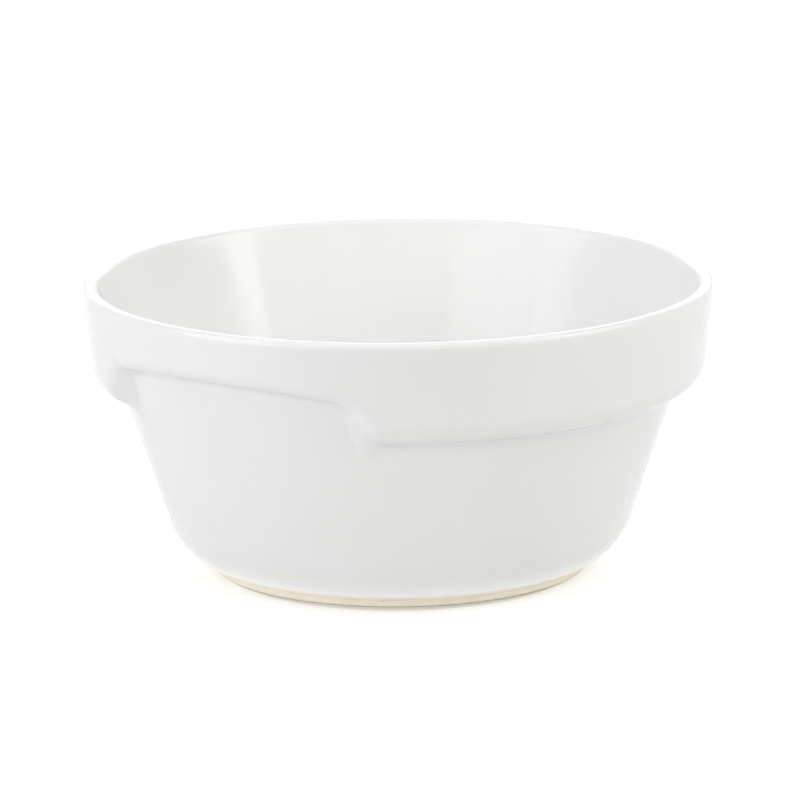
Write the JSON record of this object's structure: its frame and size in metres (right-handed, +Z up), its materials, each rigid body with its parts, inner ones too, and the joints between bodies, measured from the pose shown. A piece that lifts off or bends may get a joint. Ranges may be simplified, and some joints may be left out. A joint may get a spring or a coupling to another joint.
{
  "type": "prep bowl",
  "caption": "Round tapered stoneware prep bowl in white glaze, with a thick rim collar, grip recesses stepped into its lower edge and a low bare foot ring.",
  "frame": {"origin": "centre of the foot ring's bearing face, at table level", "axes": "+Z up along the bowl's axis, X through the middles of the grip recesses, Y through the middles of the plain collar"},
  "size_m": [0.19, 0.19, 0.088],
  "materials": {
    "stoneware": "matt, bare fired clay",
    "glaze": "smooth white gloss glaze"
  },
  "bodies": {
    "root": {"stoneware_body": "stoneware", "glaze_coat": "glaze", "underside_glaze": "glaze"}
  },
  "joints": []
}
